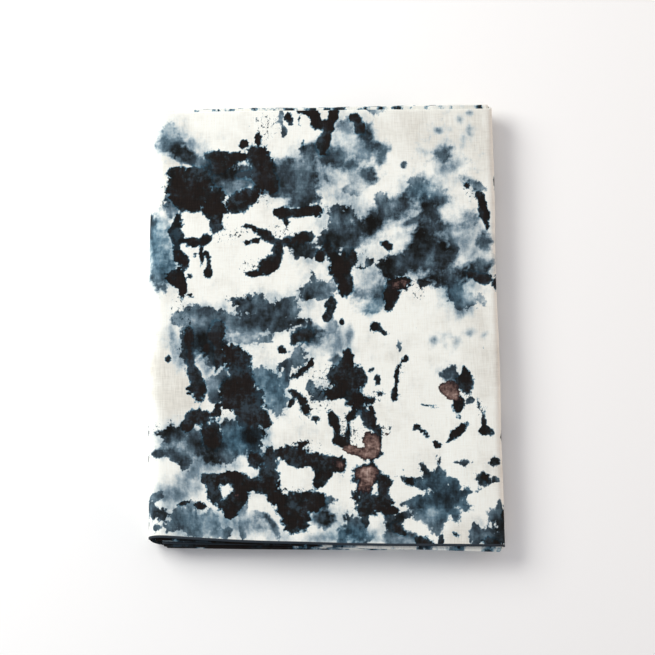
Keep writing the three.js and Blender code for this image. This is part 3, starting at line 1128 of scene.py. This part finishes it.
def edgeDyeAndShadeLoads():
    # How far each place belongs to a folded edge below the top, and the black and slate laid on it: dye, and
    # along the front also painted shade
    right = places[..., 0] / mm
    depth = cloth["foldedDepth"]
    share, black, slate = (np.zeros_like(right) for i in range(3))
    for edge, fold in (("front", 2 * depth), ("back", depth)):
        near = smooth(20, 12, abs(flatAcross - fold) / mm)[None, :] + 0 * right
        at, blackness, slateness = np.array(edgeDyeAndShade[edge]).T
        share = np.maximum(share, near)
        black = np.maximum(black, near * np.interp(right, at, blackness))
        slate = np.maximum(slate, near * np.interp(right, at, slateness))
    return share, black, slate


def dyeLoads():
    # Colour attributes: black, slate, depth of slate, rose; pale wash, warm grey, pepper, blue;
    # softness, thinned black, share of folded edge, and a fourth that stays whole
    right = (topRight[:, None] + 0 * topUp[None, :]) / mm
    up = (topUp[None, :] + 0 * topRight[:, None]) / mm
    onTop = smooth(156, 146, abs(right)) * smooth(190, 180, abs(up))
    right, up = wander(right, up)
    slates = [(*pool[:5], 1.0) for pool in slatePools]
    haloes = [(x, y, wide + 4, tall + 4, turn, 0.3) for x, y, wide, tall, turn, depth in slatePools
              if min(wide, tall) > 5]
    below = {
        # start and swing of the roaming patches, their seed and size in metres
        "black": (0.22, 0.85, 2.3, 0.045),
        "slate": (0.34, 0.9, 9.1, 0.06),
        "depth": (0.65, 0.5, 7.7, 0.05),
        "rose": (-0.1, 0.9, 5.7, 0.05),
        "pale": (0.3, 0.6, 3.9, 0.07),
        "grey": (0.4, 0.6, 12.9, 0.09),
        "pepper": (0.2, 0.8, 15.3, 0.05),
        "blue": (0.4, 0.8, 21.1, 0.08),
        "soft": (0.5, 0.9, 27.7, 0.06),
        "thin": (0.4, 0.9, 33.1, 0.05),
    }
    above = {
        "black": poolField(blackPools, right, up, 1.1, 0.35),
        "slate": poolField(slates, right, up, 1.7, 0.55),
        "depth": poolDepth(slatePools, right, up),
        "rose": poolField(rosePools, right, up),
        "pale": np.maximum(poolField(palePools, right, up, 2.0),
                           np.minimum(poolField(haloes, right, up, 2.4), 0.36)),
        "grey": poolField(greyPools, right, up, 2.0),
        "pepper": poolField(peppered, right, up, 2.0),
        "blue": poolField(bluePools, right, up, 2.0),
        "soft": poolField(softPools, right, up, 2.0),
        "thin": poolField(thinPools, right, up, 2.0),
    }
    # the black and slate of the front edges are partly painted shade, partly dye
    edgeShare, edgeBlackAndShade, edgeSlateAndShade = edgeDyeAndShadeLoads()
    onEdge = {"black": edgeBlackAndShade, "slate": edgeSlateAndShade, "depth": 0.55, "rose": 0, "pale": 0.1, "grey": 0.3,
              "pepper": 0.0, "blue": 0.4, "soft": 0.45, "thin": 0.3}
    load = {}
    for name, (start, swing, seed, size) in below.items():
        roaming = np.clip(start + swing * roamingField(seed, size), 0, 1)
        load[name] = mix(mix(roaming, onEdge[name], edgeShare), above[name], onTop)
    return {"dyeLoad": np.stack([load[name] for name in ("black", "slate", "depth", "rose")], axis=-1),
            "dyeTrace": np.stack([load[name] for name in ("pale", "grey", "pepper", "blue")], axis=-1),
            "dyeManner": np.stack([load["soft"], load["thin"], edgeShare * (1 - onTop),
                                    np.ones_like(onTop)], axis=-1)}


# ---- the linen

# Noises on the flat cloth: feature size in mm, detail, roughness, and the stretch over it and along it
linenNoises = {
    "lumps": (8.0, 5.0, 0.65, (1, 1, 1)),
    "crumbs": (3.2, 3.0, 0.65, (1, 1, 1)),
    "clouds": (24.0, 4.0, 0.6, (1, 1, 1)),
    "mottle": (6.0, 3.0, 0.6, (0.9, 0.5, 1)),
    "softness": (26.0, 2.0, 0.5, (1, 1, 1)),
    "specks": (2.2, 4.0, 0.7, (1, 0.8, 1)),
    "dashes": (13.0, 2.0, 0.4, (1, 0.3, 1)),
    "warpTeeth": (1.7, 2.0, 0.6, (1, 0.25, 1)),
    "weftTeeth": (1.7, 2.0, 0.6, (0.25, 1, 1)),
    "warp": (0.9, 1.0, 0.5, (1, 0.07, 1)),  # threads twice as coarse as real ones, which are too fine to show
    "weft": (0.9, 1.0, 0.5, (0.09, 1, 1)),
}

# Colours of the dye from the bare cloth to the deepest black
slateRamp = [
    # density, colour
    (0.00, "#f3f3eb"),
    (0.12, "#d4dad8"),
    (0.28, "#aab7bc"),
    (0.44, "#738692"),
    (0.60, "#4d606b"),
    (0.74, "#344049"),
    (0.87, "#21272a"),
    (1.00, "#131312"),
]
blueRamp = [
    # density, colour
    (0.00, "#f3f3eb"),
    (0.12, "#cddadb"),
    (0.28, "#9cb3bc"),
    (0.44, "#648393"),
    (0.60, "#3c5b6c"),
    (0.74, "#253a46"),
    (0.87, "#18242b"),
    (1.00, "#111314"),
]
roseRamp = [
    # from the rim inwards, colour
    (0.00, "#221c1f"),
    (0.25, "#3a2d2c"),
    (0.50, "#5f4b46"),
    (0.80, "#8a736b"),
    (1.00, "#b39d94"),
]
dyeTints = {
    "warmGrey": "#d6d4cb",
    "brownBlack": "#1f1917",
}


def weighted(tree, start, parts):
    # start, and each part times its weight
    total = start
    for part, weight in parts:
        total = reckon(tree, "MULTIPLY_ADD", part, weight, total)
    return total


def fillRamp(ramp, table):
    stops = ramp.color_ramp.elements
    for place, colour in table[1:-1]:
        stops.new(place)
    for stop, (place, colour) in zip(stops, table):
        stop.position = place
        stop.color = linear(colour)


def dyedLinen():
    # Plain-weave linen, hand dyed in pools while damp: fully matte, crisp rims where the dye dried and
    # soft washes where it ran, both feathered along the threads
    material = bpy.data.materials.new("dyedPlainWeaveLinen")
    material.use_nodes = True
    tree = material.node_tree
    surface = tree.nodes["Principled BSDF"]
    flat = addNode(tree, "ShaderNodeUVMap", {"uv_map": "flatCloth"}, {})
    inMm = addNode(tree, "ShaderNodeVectorMath", {"operation": "SCALE"}, {"Vector": flat, "Scale": 1000.0})
    load = addNode(tree, "ShaderNodeAttribute", {"attribute_name": "dyeLoad"}, {})
    loads = addNode(tree, "ShaderNodeSeparateColor", {}, {"Color": load.outputs["Color"]})
    trace = addNode(tree, "ShaderNodeAttribute", {"attribute_name": "dyeTrace"}, {})
    traces = addNode(tree, "ShaderNodeSeparateColor", {}, {"Color": trace.outputs["Color"]})
    black, slate, depth = (loads.outputs[name] for name in ("Red", "Green", "Blue"))
    pale, grey, pepper = (traces.outputs[name] for name in ("Red", "Green", "Blue"))
    rose, blue = load.outputs["Alpha"], trace.outputs["Alpha"]
    manner = addNode(tree, "ShaderNodeAttribute", {"attribute_name": "dyeManner"}, {})
    manners = addNode(tree, "ShaderNodeSeparateColor", {}, {"Color": manner.outputs["Color"]})
    soft, thin, edge = (manners.outputs[name] for name in ("Red", "Green", "Blue"))

    noises = {}
    for name, (size, detail, roughness, stretch) in linenNoises.items():
        scaled = addNode(tree, "ShaderNodeVectorMath", {"operation": "MULTIPLY"},
                         {0: inMm, 1: [part / size for part in stretch]})
        noises[name] = addNode(tree, "ShaderNodeTexNoise", {"noise_dimensions": "2D"},
                               {"Vector": scaled, "Scale": 1.0, "Detail": detail, "Roughness": roughness})
    (lumps, crumbs, clouds, mottle, softness, specks, dashes, warpTeeth, weftTeeth,
     warp, weft) = noises.values()
    fleck = reckon(tree, "MULTIPLY_ADD", specks, 5.0, -2.6, clamp=True)
    stray = reckon(tree, "MULTIPLY", pepper, fleck)
    dashed = reckon(tree, "MULTIPLY", edge, dashes)

    # how damp the cloth was there: rims dried crisp and ragged, or ran out softly
    damp = weighted(tree, -0.5, [(softness, 1.0), (soft, 1.0)])
    ragged = eased(tree, damp, 0.0, 0.8, 1.0, 0.45)
    blackRags = weighted(tree, -1.1, [(crumbs, 1.4), (warpTeeth, 0.5), (weftTeeth, 0.3)])
    slateRags = weighted(tree, -0.85, [(crumbs, 0.9), (warpTeeth, 0.5), (weftTeeth, 0.3)])

    # black: level 0 is its rim; navy at the rim, deepest in the middle
    blackStart = reckon(tree, "MULTIPLY_ADD", blackRags, ragged, -1.44)
    blackLevel = weighted(tree, blackStart, [(black, 1.55), (lumps, 1.3), (stray, 2.1), (dashed, 3.4),
                                             (edge, -1.7)])
    blackKeen = eased(tree, damp, 0.0, 1.0, 4.8, 1.6)
    blackCover = reckon(tree, "MULTIPLY_ADD", blackLevel, blackKeen, 0.5, clamp=True)
    blackBody = weighted(tree, -1.1, [(blackLevel, 0.3), (clouds, 1.3), (mottle, 1.1), (crumbs, 0.4),
                                      (thin, -0.3)])
    blackDepth = eased(tree, blackBody, 0.0, 0.65, 0.76, 1.0)
    blackDensity = reckon(tree, "MULTIPLY", blackCover, blackDepth)
    fringe = eased(tree, blackLevel, -0.34, 0.02, 0.0, 0.46)  # blue that crept out of it
    fromRim = reckon(tree, "ABSOLUTE", blackLevel)
    rimBlue = eased(tree, fromRim, 0.34, 0.06, 0.0, 0.9)

    # slate: crisp on some sides, run out on others, cloudy inside
    slateStart = reckon(tree, "MULTIPLY_ADD", slateRags, ragged, -1.33)
    slateLevel = weighted(tree, slateStart, [(slate, 1.25), (lumps, 1.4), (stray, 0.5), (dashed, 2.4),
                                             (edge, -1.2)])
    slateKeen = eased(tree, damp, -0.1, 0.9, 3.4, 0.9)
    slateCover = reckon(tree, "MULTIPLY_ADD", slateLevel, slateKeen, 0.6, clamp=True)
    slateBody = weighted(tree, -0.94, [(depth, 1.0), (clouds, 1.1), (mottle, 0.5), (crumbs, 0.12),
                                       (warpTeeth, 0.08), (weftTeeth, 0.08)])
    slateDensity = reckon(tree, "MULTIPLY", slateCover, slateBody)

    # the pale wash that the water carried furthest
    washBody = weighted(tree, -0.65, [(pale, 1.0), (clouds, 0.6), (mottle, 0.5), (crumbs, 0.2)])
    wash = eased(tree, washBody, 0.0, 1.0, 0.0, 0.75)
    ringed = reckon(tree, "SMOOTH_MAX", wash, fringe, 0.05)
    lighter = reckon(tree, "SMOOTH_MAX", slateDensity, ringed, 0.1)
    dye = reckon(tree, "SMOOTH_MAX", lighter, blackDensity, 0.06)
    density = weighted(tree, -0.08, [(dye, 1.0), (warp, 0.10), (weft, 0.06)])  # single threads differ

    slateColour = addNode(tree, "ShaderNodeValToRGB", {}, {"Fac": density})
    fillRamp(slateColour, slateRamp)
    blueColour = addNode(tree, "ShaderNodeValToRGB", {}, {"Fac": density})
    fillRamp(blueColour, blueRamp)
    blueShare = eased(tree, blue, 0.2, 1.0)
    bluest = reckon(tree, "MAXIMUM", blueShare, rimBlue)
    dyed = blend(tree, bluest, slateColour.outputs["Color"], blueColour.outputs["Color"])
    greyBody = weighted(tree, -0.85, [(grey, 1.0), (clouds, 1.8)])
    bare = eased(tree, density, 0.3, 0.0)
    greyShare = reckon(tree, "MULTIPLY", greyBody, bare, clamp=True)
    greyed = blend(tree, greyShare, dyed, linear(dyeTints["warmGrey"]))
    brownBody = weighted(tree, -1.1, [(blackLevel, 1.3), (clouds, 3.2), (mottle, -1.0)])
    brownShare = eased(tree, brownBody, 0.15, 1.3, 0.0, 0.8)
    browned = reckon(tree, "MULTIPLY", brownShare, blackCover)
    brown = blend(tree, browned, greyed, linear(dyeTints["brownBlack"]))

    # rose: where the brown in the dye has come apart from the blue, in spots with dark rims
    roseLevel = weighted(tree, -1.72, [(rose, 1.0), (lumps, 0.9), (crumbs, 0.5), (warpTeeth, 0.3),
                                       (weftTeeth, 0.3)])
    roseCover = eased(tree, roseLevel, -0.16, 0.0)
    roseBody = weighted(tree, -0.55, [(roseLevel, 1.6), (clouds, 1.1), (mottle, 0.3)])
    roseColour = addNode(tree, "ShaderNodeValToRGB", {}, {"Fac": roseBody})
    fillRamp(roseColour, roseRamp)
    rosy = blend(tree, roseCover, brown, roseColour.outputs["Color"])

    # the weave: the threads' own uneven colour together with painted thread highlights, most of all where
    # they are dark
    grain = weighted(tree, 0.5, [(warp, 0.6), (weft, 0.4)])
    grainAndGlintShare = eased(tree, density, 0.2, 0.8, 0.5, 1.5)
    grainAndPaintedGlint = addNode(tree, "ShaderNodeMix", {"data_type": "RGBA", "clamp_factor": False},
                    {"Factor": grainAndGlintShare, "A": (1, 1, 1, 1), "B": grain})
    woven = addNode(tree, "ShaderNodeVectorMath", {"operation": "MULTIPLY"}, {0: rosy, 1: grainAndPaintedGlint})
    threads = reckon(tree, "ADD", warp, weft)
    bump = addNode(tree, "ShaderNodeBump", {}, {"Height": threads, "Strength": 0.35, "Distance": 0.0002})
    tree.links.new(woven.outputs["Vector"], surface.inputs["Base Color"])
    tree.links.new(bump.outputs["Normal"], surface.inputs["Normal"])
    surface.inputs["Roughness"].default_value = 0.95
    surface.inputs["Specular IOR Level"].default_value = 0.1
    return material


def threadFinish():
    # Mercerised cotton overlock thread, dyed dark teal navy: a slight satin shine
    material = bpy.data.materials.new("navyOverlockThread")
    material.use_nodes = True
    surface = material.node_tree.nodes["Principled BSDF"]
    surface.inputs["Base Color"].default_value = linear("#14212c")
    surface.inputs["Roughness"].default_value = 0.75
    return material


def sheetOfLinen():
    lines, plies = places.shape[:2]
    bm = bmesh.new()
    bmesh.ops.create_grid(bm, x_segments=lines - 1, y_segments=plies - 1, size=0.5)
    flatCloth = bm.loops.layers.uv.new("flatCloth")
    bm.verts.ensure_lookup_table()
    order = np.array([(round((v.co.x + 0.5) * (lines - 1)), round((v.co.y + 0.5) * (plies - 1)))
                      for v in bm.verts])
    for vert, (i, j) in zip(bm.verts, order):
        vert.co = places[i, j]
    for face in bm.faces:
        face.smooth = True
        for loop in face.loops:
            i, j = order[loop.vert.index]
            loop[flatCloth].uv = (flatAlong[i], flatAcross[j])
    mesh = bpy.data.meshes.new("foldedLinen")
    bm.to_mesh(mesh)
    bm.free()
    for name, field in dyeLoads().items():
        attribute = mesh.attributes.new(name, "FLOAT_COLOR", "POINT")
        attribute.data.foreach_set("color", field[order[:, 0], order[:, 1]].astype(np.float32).ravel())
    piece = linkObject("foldedLinen", mesh, dyedLinen())
    body = piece.modifiers.new("body", "SOLIDIFY")
    body.thickness = cloth["thickness"]
    body.offset = 0
    return piece


hem = {
    "halfWidth": 1.15 * mm,
    "halfThickness": 0.34 * mm,
    "aroundSteps": 8,
}


def hemThread():
    # The overlock runs right round the open cloth, so its line is the rim of the grid
    lastLine, lastPly = places.shape[0] - 1, places.shape[1] - 1
    rim = ([((i, 0), (i, 1)) for i in range(lastLine)]
           + [((lastLine, j), (lastLine - 1, j)) for j in range(lastPly)]
           + [((i, lastPly), (i, lastPly - 1)) for i in range(lastLine, 0, -1)]
           + [((0, j), (1, j)) for j in range(lastPly, 0, -1)])
    edge = np.array([places[a] for a, b in rim])
    inward = np.array([places[b] - places[a] for a, b in rim])
    inward /= np.linalg.norm(inward, axis=1)[:, None]
    run = np.roll(edge, -1, 0) - np.roll(edge, 1, 0)
    facing = np.cross(inward, run)
    facing /= np.linalg.norm(facing, axis=1)[:, None]
    middle = edge + inward * hem["halfWidth"] * 0.5
    around = hem["aroundSteps"]
    bm = bmesh.new()
    bmesh.ops.create_grid(bm, x_segments=len(rim), y_segments=around, size=0.5)
    for vert in bm.verts:
        i = round((vert.co.x + 0.5) * len(rim)) % len(rim)
        angle = 2 * math.pi * (vert.co.y + 0.5)
        vert.co = (middle[i] + inward[i] * hem["halfWidth"] * math.cos(angle)
                   + facing[i] * hem["halfThickness"] * math.sin(angle))
    bmesh.ops.remove_doubles(bm, verts=bm.verts, dist=0.002 * mm)
    bmesh.ops.recalc_face_normals(bm, faces=bm.faces)
    for face in bm.faces:
        face.smooth = True
    mesh = bpy.data.meshes.new("hemThread")
    bm.to_mesh(mesh)
    bm.free()
    return linkObject("hemThread", mesh, threadFinish())


linenSheet = sheetOfLinen()
hemLine = hemThread()
print("cloth and hem made:", len(linenSheet.data.polygons), "and", len(hemLine.data.polygons), "faces")

for piece in (linenSheet, hemLine):
    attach(piece, "root")
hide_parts("folded_cloth")
